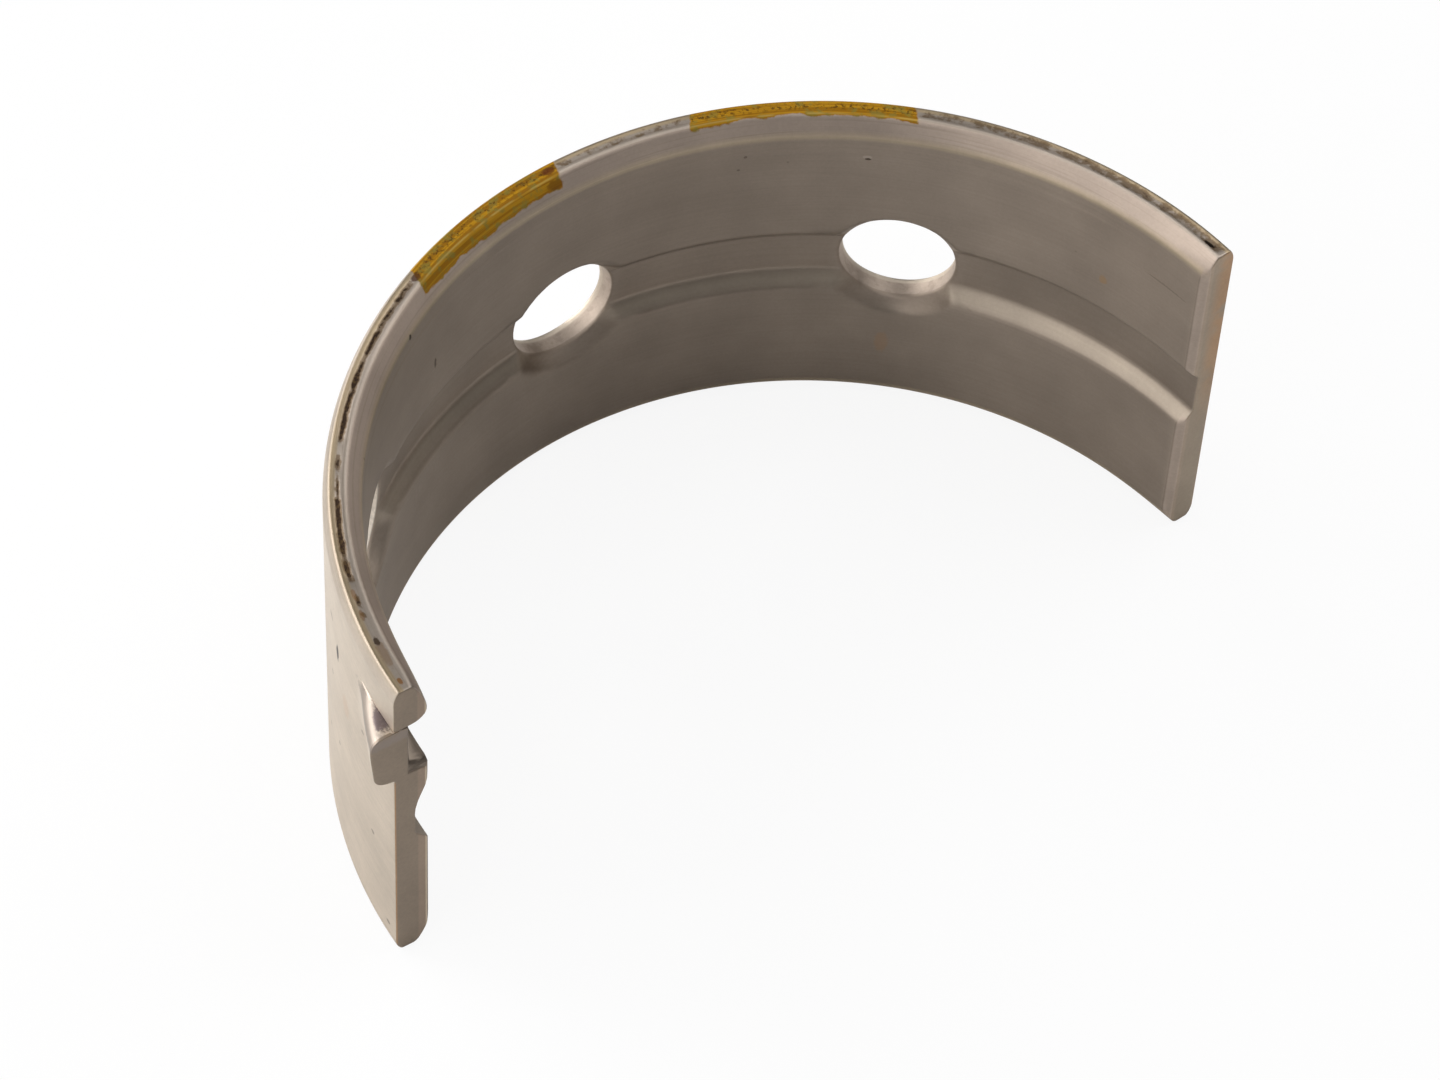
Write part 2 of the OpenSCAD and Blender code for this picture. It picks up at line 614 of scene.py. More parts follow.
    def tear_field(self, points: Array) -> Array:
        """Finds how much each vertex belongs to the torn line of the upper rim.

        Args:
            points: Flat places of the vertices.

        Returns:
            Shares from 0 to 1.
        """
        s = self.shape
        turn, depth = np.degrees(points[:, 0] / s.bore_r), points[:, 1]
        on_rim = np.clip((points[:, 2] - s.side_z) / self.rim_fade, 0, 1)
        field = np.zeros(len(points))
        for t in self.torn:
            ends = np.clip(np.minimum(turn - t.start, t.end - turn) / self.tear_end_fade, 0, 1)
            sides = np.clip(np.minimum(depth - t.low, t.high - depth) / self.tear_side_fade, 0, 1)
            field = np.maximum(field, t.strength * ends * sides * on_rim)
        return field

    def build(self, name: str) -> bpy.types.Object:
        """Makes the flat strip as an object.

        Args:
            name: Name of the object.

        Returns:
            The flat strip, in metres, with its fields.
        """
        self.gather_faces()
        used, faces = np.unique(np.concatenate(self.faces), return_inverse=True)
        points = np.concatenate(self.points)[used]
        mesh = bpy.data.meshes.new(name)
        mesh.from_pydata((points * MM).tolist(), [], faces.reshape(-1, 4).tolist())
        tear = mesh.attributes.new(Field.TEAR.value, "FLOAT", "POINT")
        tear.data.foreach_set("value", self.tear_field(points).astype(np.float32))
        mesh.polygons.foreach_set("use_smooth", np.ones(len(mesh.polygons), bool))
        strip = bpy.data.objects.new(name, mesh)
        bpy.context.scene.collection.objects.link(strip)
        return strip


@dataclass(frozen=True)
class RollTree:
    """Node tree that rolls the flat strip round the bore and tears its rim. Millimetres."""

    bore_r: float
    tear_depth: float = 0.05
    tear_grain: float = 0.45
    tear_seed: float = 3.0
    tear_detail: float = 4.0
    tear_roughness: float = 0.65
    bite_from: float = 0.24
    bite_to: float = 0.38

    def sizes(self) -> dict[str, float]:
        """Named inputs of the tree and their values in Blender's units."""
        return {
            "Bore radius": self.bore_r * MM,
            "Tear depth": self.tear_depth * MM,
            "Tear grain": 1 / (self.tear_grain * MM),
            "Tear seed": self.tear_seed,
        }

    def build(self) -> bpy.types.NodeTree:
        """Builds the tree.

        Returns:
            A geometry node tree with the inputs that sizes() names, and the finish.
        """
        tree = bpy.data.node_groups.new("roll_strip", "GeometryNodeTree")
        tree.interface.new_socket("Strip", in_out="INPUT", socket_type="NodeSocketGeometry")
        for name in self.sizes():
            tree.interface.new_socket(name, in_out="INPUT", socket_type="NodeSocketFloat")
        tree.interface.new_socket("Finish", in_out="INPUT", socket_type="NodeSocketMaterial")
        tree.interface.new_socket("Shell", in_out="OUTPUT", socket_type="NodeSocketGeometry")
        given = add_node(tree, "NodeGroupInput", out="Strip").node.outputs

        place = add_node(tree, "GeometryNodeInputPosition")
        flat = add_node(tree, "GeometryNodeStoreNamedAttribute",
                        {"Geometry": given["Strip"], "Name": Field.STRIP.value, "Value": place},
                        data_type="FLOAT_VECTOR", domain="POINT")

        # Roll: the place along the strip becomes an angle, the depth adds to the bore radius
        split = add_node(tree, "ShaderNodeSeparateXYZ", {0: place}).node.outputs
        bore = given["Bore radius"]
        angle = add_node(tree, MATH, {0: split["X"], 1: bore}, operation="DIVIDE")
        radius = add_node(tree, MATH, {0: split["Y"], 1: bore}, operation="ADD")
        sine = add_node(tree, MATH, {0: angle}, operation="SINE")
        cosine = add_node(tree, MATH, {0: angle}, operation="COSINE")
        x = add_node(tree, MATH, {0: radius, 1: sine}, operation="MULTIPLY")
        y = add_node(tree, MATH, {0: radius, 1: cosine}, operation="MULTIPLY")
        turned = add_node(tree, "ShaderNodeCombineXYZ", {"X": x, "Y": y, "Z": split["Z"]})
        rolled = add_node(tree, "GeometryNodeSetPosition", {"Geometry": flat, "Position": turned})

        # Tear: noise along the torn line digs into the rim, and what it leaves goes to the finish
        torn = add_node(tree, "GeometryNodeInputNamedAttribute", {"Name": Field.TEAR.value},
                        out="Attribute", data_type="FLOAT")
        noise = add_node(tree, NOISE,
                         {"W": given["Tear seed"], "Scale": given["Tear grain"],
                          "Detail": self.tear_detail, "Roughness": self.tear_roughness},
                         noise_dimensions="4D")
        bite = add_node(tree, RANGE,
                        {"Value": noise, "From Min": self.bite_from, "From Max": self.bite_to},
                        interpolation_type="SMOOTHSTEP")
        tear = add_node(tree, MATH, {0: torn, 1: bite}, operation="MULTIPLY")
        dig = add_node(tree, MATH, {0: tear, 1: given["Tear depth"]}, operation="MULTIPLY")
        fall = add_node(tree, MATH, {0: dig, 1: -1.0}, operation="MULTIPLY")
        offset = add_node(tree, "ShaderNodeCombineXYZ", {"Z": fall})
        marked = add_node(tree, "GeometryNodeStoreNamedAttribute",
                          {"Geometry": rolled, "Name": Field.TEAR.value, "Value": tear},
                          data_type="FLOAT", domain="POINT")
        torn_rim = add_node(tree, "GeometryNodeSetPosition",
                            {"Geometry": marked, "Offset": offset})

        whole = add_node(tree, "GeometryNodeRealizeInstances", {"Geometry": torn_rim})
        finished = add_node(tree, "GeometryNodeSetMaterial",
                            {"Geometry": whole, "Material": given["Finish"]})
        add_node(tree, "NodeGroupOutput", {"Shell": finished})
        return tree

    def roll(self, strip: bpy.types.Object, finish: bpy.types.Material,
             name: str) -> bpy.types.Object:
        """Rolls a flat strip and leaves a plain mesh.

        Args:
            strip: The flat strip, which is used up.
            finish: Material of the shell.
            name: Name of the shell.

        Returns:
            The rolled shell as a plain mesh object.
        """
        tree = self.build()
        modifier = strip.modifiers.new("roll", "NODES")
        modifier.node_group = tree
        values: dict[str, Any] = {**self.sizes(), "Finish": finish}
        for item in tree.interface.items_tree:
            if item.in_out == "INPUT" and item.name in values:
                modifier[item.identifier] = values[item.name]
        graph = bpy.context.evaluated_depsgraph_get()
        mesh = bpy.data.meshes.new_from_object(strip.evaluated_get(graph), depsgraph=graph)
        mesh.name = name
        strip.modifiers.remove(modifier)
        bpy.data.objects.remove(strip)
        shell = bpy.data.objects.new(name, mesh)
        bpy.context.scene.collection.objects.link(shell)
        return shell


@dataclass
class StripCanvas:
    """Node tree of a finish: the flat place on the strip, noises to break it up, and masks.

    The real grain is about 0.02 mm, too fine to show, so it is drawn at about 0.14 mm.
    """

    tree: bpy.types.NodeTree
    shape: StripShape
    ragged_per_mm: float = 2.6
    wave_per_mm: float = 0.9
    blotch_per_mm: float = 0.35
    grain_per_mm: float = 7.0
    streak_per_mm: tuple[float, float, float] = (0.13, 9.0, 9.0)

    def __post_init__(self) -> None:
        """Adds the coordinates, the noises and the masks of the zones."""
        tree, s = self.tree, self.shape
        metres = add_node(tree, "ShaderNodeAttribute", out="Vector",
                          attribute_name=Field.STRIP.value)
        place = add_node(tree, VECTOR, {0: metres, "Scale": 1 / MM}, operation="SCALE")
        split = add_node(tree, "ShaderNodeSeparateXYZ", {0: place}).node.outputs
        self.place = place
        self.along, self.depth, self.height = split
        self.reach = add_node(tree, MATH, {0: self.along}, operation="ABSOLUTE")
        self.rise = add_node(tree, MATH, {0: self.height}, operation="ABSOLUTE")
        drawn = add_node(tree, VECTOR, {0: place, 1: self.streak_per_mm}, operation="MULTIPLY")
        # Each noise is its place, its features per millimetre, its detail and its roughness
        kinds = ((place, self.ragged_per_mm, 4.0, 0.6), (place, self.wave_per_mm, 2.0, 0.5),
                 (place, self.blotch_per_mm, 3.0, 0.5), (place, self.grain_per_mm, 3.0, 0.7),
                 (drawn, 1.0, 3.0, 0.5))
        names = ("Vector", "Scale", "Detail", "Roughness")
        noises = [add_node(tree, NOISE, dict(zip(names, kind))) for kind in kinds]
        self.ragged, self.wave, self.blotch, self.grain, self.streak = noises
        self.chamfered = self.step(self.rise, s.land_z - 0.06, s.land_z + 0.04)
        self.past_chamfer = self.step(self.depth, s.inner_chamfer - 0.04, s.inner_chamfer + 0.06)
        self.back = self.step(self.depth, s.wall - 0.3, s.wall - 0.2)
        on_tang = self.step(self.depth, s.wall, s.wall + 0.1)
        at_end = self.shift(self.reach, on_tang, 0.1)
        self.end = self.step(at_end, s.half_len - 0.035, s.half_len - 0.012)
        self.not_end = self.step(self.reach, s.half_len - 0.012, s.half_len - 0.035)

    def step(self, value: Socket, low: float, high: float) -> Socket:
        """Mask that goes smoothly from 0 at one value to 1 at another."""
        ends = {"Value": value, "From Min": low, "From Max": high}
        return add_node(self.tree, RANGE, ends, interpolation_type="SMOOTHSTEP")

    def band(self, value: Socket, centre: float, width: float) -> Socket:
        """Builds a mask of a band.

        Args:
            value: Value that the band is on.
            centre: Value at its middle.
            width: How far the band reaches to either side.

        Returns:
            Mask that is 1 in the middle and 0 from a width away.
        """
        away = add_node(self.tree, MATH, {0: value, 1: centre}, operation="SUBTRACT")
        away = add_node(self.tree, MATH, {0: away}, operation="ABSOLUTE")
        return self.step(away, width, 0.0)

    def shift(self, value: Socket, by: Socket, amount: float) -> Socket:
        """Value moved by an amount of another, which makes a mask's edge ragged or slanted."""
        return add_node(self.tree, MATH, {0: by, 1: amount, 2: value}, operation="MULTIPLY_ADD")

    def join(self, how: Join, *masks: Any) -> Any:
        """Joins masks into one.

        Args:
            how: Whether all of them have to hold or any one.
            *masks: The masks, or a plain share from 0 to 1.

        Returns:
            The joined mask.
        """
        whole = masks[0]
        for mask in masks[1:]:
            whole = add_node(self.tree, MATH, {0: whole, 1: mask}, operation=how.value)
        return whole

    def spot(self, centre: tuple[float, float, float], reach: tuple[float, float, float],
             fray: float = 0.9) -> Socket:
        """Mask of an oval spot, where a reach of 0 leaves that direction out.

        Args:
            centre: Flat place of its middle in millimetres.
            reach: Its half sizes in millimetres.
            fray: How ragged its outline is.

        Returns:
            Mask that is 1 in the middle.
        """
        scale = tuple(1 / r if r else 0.0 for r in reach)
        away = add_node(self.tree, VECTOR, {0: self.place, 1: centre}, operation="SUBTRACT")
        away = add_node(self.tree, VECTOR, {0: away, 1: scale}, operation="MULTIPLY")
        far = add_node(self.tree, VECTOR, {0: away}, out="Value", operation="LENGTH")
        frayed = self.shift(far, self.grain, fray)
        return self.step(frayed, 1 + fray / 2, 0.6 + fray / 2)

    def lay(self, colour: Any, *layers: tuple[Any, ...]) -> Socket:
        """Lays tones over a colour, one after another.

        Args:
            colour: Colour so far.
            *layers: For each layer its tone as a hex colour or a socket, how much of it covers
                from 0 to 1, and the masks that all have to hold for it.

        Returns:
            The colour with the layers.
        """
        for tone, strength, *masks in layers:
            over = linear(tone) if isinstance(tone, str) else tone
            parts = {0: self.join(Join.ALL, strength, *masks), 6: colour, 7: over}
            colour = add_node(self.tree, "ShaderNodeMix", parts, out=2, data_type="RGBA")
        return colour


class Side(Enum):
    """Face of the strip that a mark is on."""

    BORE = "bore"
    BACK = "back"
    RIM = "rim"


@dataclass(frozen=True)
class Mark:
    """A small blemish, stain, painted highlight or painted shade, with its size along and across
    the strip. Degrees and millimetres.

    Its turn is counted from the crown. Its level is a height on the bore and the back, and a
    depth on the rim.
    """

    turn: float
    level: float
    along: float
    across: float
    tone: str
    strength: float
    side: Side = Side.BORE

    def lay(self, canvas: StripCanvas, colour: Socket) -> Socket:
        """Lays the mark over a colour.

        Args:
            canvas: Tree of the finish.
            colour: Colour so far.

        Returns:
            The colour with the mark.
        """
        s = canvas.shape
        u = s.along(self.turn)
        if self.side is Side.RIM:
            spot = canvas.spot((u, self.level, 0.0), (self.along, self.across, 0.0))
            face = canvas.step(canvas.height, s.land_z, s.land_z + 0.1)
        else:
            spot = canvas.spot((u, 0.0, self.level), (self.along, 0.0, self.across))
            middle, beyond = s.wall / 2, (0.3 if self.side is Side.BACK else -0.3)
            face = canvas.step(canvas.depth, middle, middle + beyond)
        return canvas.lay(colour, (self.tone, self.strength, spot, face))


@dataclass(frozen=True)
class Patch:
    """A dab of paint on the upper rim. Degrees from the crown and millimetres.

    Each slant is how far that end moves along the strip for each step of depth.
    """

    start: float
    end: float
    lowest: float
    start_slant: float
    end_slant: float


@dataclass(frozen=True)
class CodePaint:
    """Ochre marking paint: thin and streaky, worn pale along the arrises, dark where it pools."""

    patches: tuple[Patch, ...] = (
        Patch(-24.6, -0.6, 0.27, 0.45, 0.25),
        Patch(17.1, 44.7, 0.54, 0.31, -0.3),
    )
    ochre: str = "#8c600a"
    bright: str = "#b4861a"
    olive: str = "#7a7030"
    pooled: str = "#452b0a"
    worn: str = "#bda65c"
    slant_from: float = 0.85
    pool_depth: float = 0.98
    end_fray: float = 0.3
    low_fray: float = 0.16
    low_wave: float = 0.4
    end_fade: float = 0.05
    low_fade: float = 0.03

    def mask(self, canvas: StripCanvas) -> Socket:
        """Builds the mask of the painted places.

        Args:
            canvas: Tree of the finish.

        Returns:
            Mask that is 1 on the paint.
        """
        s, step = canvas.shape, canvas.step
        frayed = canvas.shift(canvas.along, canvas.ragged, self.end_fray)
        lower = canvas.shift(canvas.depth, canvas.ragged, self.low_fray)
        lower = canvas.shift(lower, canvas.wave, self.low_wave)
        level = add_node(canvas.tree, MATH, {0: canvas.depth, 1: self.slant_from},
                         operation="SUBTRACT")
        upper = step(canvas.height, s.land_z, s.land_z + 0.05)
        inner = step(canvas.depth, s.wall - 0.1, s.wall - 0.17)
        dabs = []
        for patch in self.patches:
            start = canvas.shift(frayed, level, -patch.start_slant)
            end = canvas.shift(frayed, level, -patch.end_slant)
            first = s.along(patch.start) + self.end_fray / 2
            last = s.along(patch.end) + self.end_fray / 2
            low = patch.lowest + (self.low_fray + self.low_wave) / 2
            dabs.append(canvas.join(
                Join.ALL,
                step(start, first - self.end_fade, first + self.end_fade),
                step(end, last + self.end_fade, last - self.end_fade),
                step(lower, low - self.low_fade, low + self.low_fade),
                upper,
                inner,
            ))
        return canvas.join(Join.ANY, *dabs)

    def lay(self, canvas: StripCanvas, colour: Socket, mask: Socket) -> Socket:
        """Lays the paint over a colour.

        Args:
            canvas: Tree of the finish.
            colour: Colour so far.
            mask: Mask of the painted places.

        Returns:
            The colour with the paint.
        """
        s, step, band, depth = canvas.shape, canvas.step, canvas.band, canvas.depth
        patchy = step(canvas.wave, 0.4, 0.56)
        tone = canvas.lay(
            linear(self.ochre),
            (self.bright, 0.7, step(canvas.streak, 0.45, 0.62)),
            (self.olive, 0.7, step(canvas.ragged, 0.5, 0.64)),
            (self.pooled, 0.85, step(canvas.grain, 0.5, 0.6), band(depth, self.pool_depth, 0.3)),
            (self.worn, 0.5, band(depth, s.inner_chamfer + 0.02, 0.06), patchy),
            (self.worn, 0.4, band(depth, s.wall - 0.2, 0.07), patchy),
        )
        return canvas.lay(colour, (tone, 1.0, mask))


@dataclass(frozen=True)
class PlatedStrip:
    """Bimetal strip: a cream-grey tin flash on the steel back, a brown-grey lining in the bore."""

    shape: StripShape
    paint: CodePaint = CodePaint()
    lining: str = "#9d9083"
    machined: str = "#b6a699"
    sheared: str = "#b1a599"
    cream: str = "#b9a68a"
    flash: str = "#c8bcad"
    hole_wall: str = "#bcaea1"
    # painted shade: the hollow that the tang leaves in the bore is given a dark tone
    hollow: str = "#463c33"
    cut_steel: str = "#8d7f70"
    cut_lining: str = "#998777"
    # painted light: the wall of the oil hole by the tang is near white
    lit_hole_wall: str = "#efe6da"
    # painted shade: a dark tone on the rolled outer edge of the rim that dims its highlight
    outer_edge_shade: str = "#65573f"
    # painted light: the groove flanks are paler than the lining so that they read lit
    flank: str = "#afa293"
    # painted highlight along the arris between the inner chamfer and the land
    arris_sheen: str = "#cdbb9a"
    pale: str = "#e0d0b6"
    rust: str = "#b98a5c"
    torn: str = "#43342b"
    scorched: str = "#735d42"
    # dark tone of the small pits, also used for painted shade in the middle of the bore and along
    # the groove's upper lip
    pit_and_shade: str = "#6a5c50"
    lining_depth: float = 0.5
    roughness: float = 0.48
    coarse_roughness: float = 0.8
    brushing: float = 0.68
    plain_brushing: float = 0.1
    paint_gloss: float = 0.12
    bump_strength: float = 0.2
    bump_height: float = 0.02
    streak_relief: float = 0.25
    pit_relief: float = 0.8
    pits_per_mm: float = 0.75
    pit_size: float = 0.075
    marks: tuple[Mark, ...] = (
        # painted highlight and painted shade of a small dent
        Mark(39.15, 6.42, 0.24, 0.12, "#b4a699", 0.8),
        Mark(39.25, 6.32, 0.16, 0.07, "#43392f", 0.9),
        Mark(23.65, 6.60, 0.09, 0.09, "#43392f", 0.5),
        Mark(22.85, 5.88, 0.08, 0.08, "#43392f", 0.45),
        Mark(43.0, -4.7, 0.35, 0.75, "#b08a68", 0.35),
        Mark(71.75, 3.42, 0.22, 0.28, "#a98a68", 0.65),
        Mark(81.3, 5.36, 1.30, 0.06, "#5c5046", 0.35),
        Mark(-24.75, 3.81, 0.09, 0.36, "#4f4339", 0.75),
        Mark(-30.95, 7.35, 0.11, 0.16, "#2f2620", 0.9),
        # painted shade of a nick in the back
        Mark(-70.3, 3.90, 0.19, 0.55, "#352b2a", 0.97, Side.BACK),
        Mark(-67.4, 4.90, 0.30, 0.16, "#8f8276", 0.6, Side.BACK),
        Mark(-67.2, 1.34, 0.16, 0.12, "#857a6e", 0.7, Side.BACK),
        Mark(-65.0, -2.95, 0.14, 0.12, "#857a6e", 0.7, Side.BACK),
        Mark(-70.3, -1.84, 0.14, 0.12, "#857a6e", 0.7, Side.BACK),
        Mark(-81.6, -2.58, 0.16, 0.14, "#857a6e", 0.75, Side.BACK),
        Mark(-85.2, -6.99, 0.15, 0.13, "#857a6e", 0.75, Side.BACK),
        Mark(-79.2, 2.77, 0.15, 0.14, "#8f8276", 0.6, Side.BACK),
        Mark(-73.5, 1.92, 0.45, 0.70, "#c9ae95", 0.35, Side.BACK),
        # painted highlight on the slit's upper wall, painted shade over the tang's upper rounding
        # and the painted shadow of the slit
        Mark(-81.6, 6.02, 0.95, 0.06, "#ecd6c8", 0.6, Side.BACK),
        Mark(-83.4, 5.60, 1.90, 0.44, "#8f847c", 0.75, Side.BACK),
        Mark(-84.5, 5.93, 0.60, 0.12, "#5d4f55", 0.75, Side.BACK),
        Mark(-81.3, 0.92, 0.80, 0.20, "#937453", 0.5, Side.RIM),
        Mark(-79.6, 0.94, 0.24, 0.13, "#3d2e25", 0.8, Side.RIM),
        Mark(-85.6, 0.96, 0.20, 0.11, "#96652f", 0.8, Side.RIM),
        Mark(-72.6, 1.02, 0.30, 0.10, "#8f6a45", 0.6, Side.RIM),
        Mark(-75.6, 1.02, 0.30, 0.10, "#8f6a45", 0.6, Side.RIM),
        Mark(-24.5, 0.92, 0.26, 0.20, "#4a2912", 0.8, Side.RIM),
        Mark(-1.7, 0.95, 0.32, 0.22, "#5a2c10", 0.8, Side.RIM),
        Mark(-1.9, 0.40, 0.45, 0.16, "#6b4208", 0.7, Side.RIM),
        Mark(84.6, 0.84, 0.30, 0.10, "#1f1916", 0.95, Side.RIM),
    )

    def material(self) -> bpy.types.Material:
        """Builds the material.

        Returns:
            The finish of the whole shell.
        """
        material = bpy.data.materials.new("tin_flashed_bimetal_strip")
        material.use_nodes = True
        tree = material.node_tree
        tree.nodes.clear()
        canvas = StripCanvas(tree, self.shape)
        colour = self.ends(canvas, self.zones(canvas))
        colour, pits = self.unevenness(canvas, colour)
        colour, torn = self.tear(canvas, colour)
        painted = self.paint.mask(canvas)
        colour = self.paint.lay(canvas, colour, painted)
        for mark in self.marks:
            colour = mark.lay(canvas, colour)

        # Rolled and bored metal: satin, with a grain round the bore that draws light across it
        plain = canvas.join(Join.ANY, canvas.back, canvas.end, canvas.step(canvas.rise, 1.8, 1.6))
        brushed = add_node(tree, RANGE, {"Value": plain, "To Min": self.brushing,
                                         "To Max": self.plain_brushing})
        around = add_node(tree, "ShaderNodeTangent", direction_type="RADIAL", axis="Z")
        # Torn and countersunk metal is dull, and the paint is no metal
        coarse = canvas.join(Join.ANY, torn, self.countersinks(canvas))
        rough = add_node(tree, RANGE, {"Value": coarse, "To Min": self.roughness,
                                       "To Max": self.coarse_roughness})
        metal = add_node(tree, MATH, {0: 1.0, 1: painted}, operation="SUBTRACT")
        relief = canvas.shift(canvas.grain, canvas.streak, self.streak_relief)
        relief = canvas.shift(relief, pits, -self.pit_relief)
        bump = add_node(tree, "ShaderNodeBump", {
            "Strength": self.bump_strength, "Distance": self.bump_height * MM, "Height": relief})
        surface = add_node(tree, "ShaderNodeBsdfPrincipled", {
            "Base Color": colour, "Metallic": metal, "Roughness": rough, "Normal": bump,
            "Specular IOR Level": self.paint_gloss, "Anisotropic": brushed,
            "Anisotropic Rotation": 0.25, "Tangent": around})
        add_node(tree, "ShaderNodeOutputMaterial", {"Surface": surface})
        return material

    def zones(self, canvas: StripCanvas) -> Socket:
        """Lays the tone of each zone: lining, chamfers, rims, holes, tang hollow and back, with
        painted shade and painted highlights on some of them.

        Args:
            canvas: Tree of the finish.

        Returns:
            The colour.
        """
        s, t = self.shape, self.shape.tang
        step, band = canvas.step, canvas.band
        along, depth, height, rise = canvas.along, canvas.depth, canvas.height, canvas.rise
        chamfered, back = canvas.chamfered, canvas.back
        # the middle of the bore about the crown, where painted shade goes
        crown = band(along, s.along(12.0), s.along(42.0))
        arris_sheen = band(rise, s.land_z, 0.26)
        outer_rim = step(depth, 0.98, 1.1)
        outer_edge = band(depth, s.wall - s.outer_roll_r + 0.03, 0.17)
        sloped = step(rise, s.back_z, s.back_z + 0.3)
        tang_half = step(along, s.along(-36.0), s.along(-50.0))
        flank = band(rise, (s.groove_mouth + s.groove_floor) / 4, 0.5)
        lip = band(height, s.groove_mouth / 2, 0.24)
        on_land = step(depth, s.groove_depth + 0.02, s.groove_depth - 0.02)
        deep = step(depth, s.groove_depth + 0.03, s.groove_depth + 0.1)
        in_hole = step(rise, s.hole_r + 0.3, s.hole_r + 0.2)
        tang_hole = step(along, s.along(-34.0), s.along(-36.0))
        hollow = band(height, (t.recess_low + t.top) / 2, (t.top - t.recess_low) / 2 + 0.4)
        bend = t.inner_run - s.half_len
        at_tang = step(along, bend + 0.2, bend - 0.2)
        return canvas.lay(
            linear(self.lining),
            # painted shade: the middle of the bore is darkened a little
            (self.pit_and_shade, 0.2, crown),
            (self.machined, 1.0, chamfered),
            (self.sheared, 1.0, chamfered, canvas.past_chamfer),
            (self.cream, 1.0, chamfered, outer_rim),
            # painted highlight along the inner arris
            (self.arris_sheen, 0.4, arris_sheen),
            # painted shade on the rolled outer edge of the rim
            (self.outer_edge_shade, 0.2, outer_edge, chamfered),
            # painted light on both flanks of the groove
            (self.flank, 1.0, flank, on_land, step(depth, 0.03, 0.1)),
            # painted shade along the groove's upper lip about the crown
            (self.pit_and_shade, 0.6, lip, crown, on_land),
            (self.hole_wall, 0.7, self.countersinks(canvas)),
            (self.hole_wall, 1.0, deep, in_hole),
            # painted light on the wall of the oil hole by the tang
            (self.lit_hole_wall, 1.0, deep, in_hole, tang_hole),
            (self.pit_and_shade, 0.15, deep, in_hole, step(canvas.ragged, 0.5, 0.62)),
            # painted shade in the tang hollow
            (self.hollow, 1.0, hollow, at_tang, step(depth, 0.02, 0.12)),
            (self.flash, 1.0, back),
            (self.sheared, 0.5, back, sloped),
            # more painted shade on the rolled outer edge, over the tang half
            (self.outer_edge_shade, 0.42, outer_edge, chamfered, tang_half),
        )

    def countersinks(self, canvas: StripCanvas) -> Socket:
        """Builds the mask of the oil holes and the cones round them.

        Args:
            canvas: Tree of the finish.

        Returns:
            Mask that is 1 on the holes and cones, and 0 on the back.
        """
        s = self.shape
        reach = s.hole_r + s.countersink + 0.1
        size = (reach, 0.0, reach)
        cones = [canvas.spot((s.along(turn), 0.0, 0.0), size, 0.0) for turn in s.hole_turns]
        inner = canvas.step(canvas.depth, s.wall - 0.05, s.wall - 0.15)
        return canvas.join(Join.ALL, canvas.join(Join.ANY, *cones), inner)

    def ends(self, canvas: StripCanvas, colour: Socket) -> Socket:
        """Lays the cut parting faces: steel and lining bands, edge lines and a rust bloom.

        Args:
            canvas: Tree of the finish.
            colour: Colour so far.

        Returns:
            The colour with its ends.
        """
        s, step, band = self.shape, canvas.step, canvas.band
        depth, end = canvas.depth, canvas.end
        lining = step(depth, self.lining_depth + 0.05, self.lining_depth - 0.05)
        plain = step(canvas.along, 0.0, 1.0)
        facet = s.half_len - s.plain_break
        broken = step(canvas.reach, facet - 0.03, facet + 0.03)
        facet_line = band(canvas.reach, facet, 0.06)
        bloom = step(canvas.height, -3.0, 3.0)
        stained = step(canvas.wave, 0.25, 0.5)
        outer_edge = step(depth, s.wall - 0.09, s.wall - 0.03)
        below_tang = step(canvas.height, s.tang.low - 0.1, s.tang.low - 0.3)
        return canvas.lay(
            colour,
            (self.cut_steel, 1.0, end),
            (self.cut_lining, 1.0, end, lining),
            (self.pale, 0.15, end, plain),
            (self.machined, 0.7, plain, step(depth, 0.36, 0.3), broken),
            (self.pit_and_shade, 0.45, plain, step(depth, 0.09, 0.04), facet_line),
            (self.rust, 0.5, end, plain, bloom, stained, step(depth, 0.45, 1.2)),
            (self.pale, 0.7, end, band(depth, 0.15, 0.07)),
            (self.pit_and_shade, 0.5, end, band(depth, 0.04, 0.05)),
            (self.rust, 0.5, end, outer_edge, below_tang),
        )

    def unevenness(self, canvas: StripCanvas, colour: Socket) -> tuple[Socket, Socket]:
        """Breaks up a colour with blotches, rolling streaks, grain and sparse small pits.

        Args:
            canvas: Tree of the finish.
            colour: Colour so far.

        Returns:
            The broken colour and the mask of the pits.
        """
        tree = canvas.tree
        for noise, amount in ((canvas.blotch, 0.08), (canvas.streak, 0.035), (canvas.grain, 0.04)):
            gain = add_node(tree, RANGE, {"Value": noise, "From Min": 0.3, "From Max": 0.7,
                                          "To Min": 1 - amount, "To Max": 1 + amount})
            colour = add_node(tree, VECTOR, {0: colour, "Scale": gain}, operation="SCALE")
        lined = canvas.step(canvas.streak, 0.5, 0.66)
        cell = add_node(tree, "ShaderNodeTexVoronoi",
                        {"Vector": canvas.place, "Scale": self.pits_per_mm}).node.outputs
        rare = add_node(tree, "ShaderNodeSeparateColor", {0: cell["Color"]})
        size = add_node(tree, RANGE, {"Value": rare, "From Min": 0.5, "From Max": 1.0,
                                      "To Min": 0.0, "To Max": self.pit_size})
        inside = add_node(tree, MATH, {0: size, 1: cell["Distance"]}, operation="SUBTRACT")
        pits = canvas.step(inside, 0.0, 0.05)
        colour = canvas.lay(
            colour,
            (self.cut_steel, 0.3, lined, canvas.chamfered, canvas.not_end),
            (self.pit_and_shade, 0.5, pits),
        )
        return colour, pits

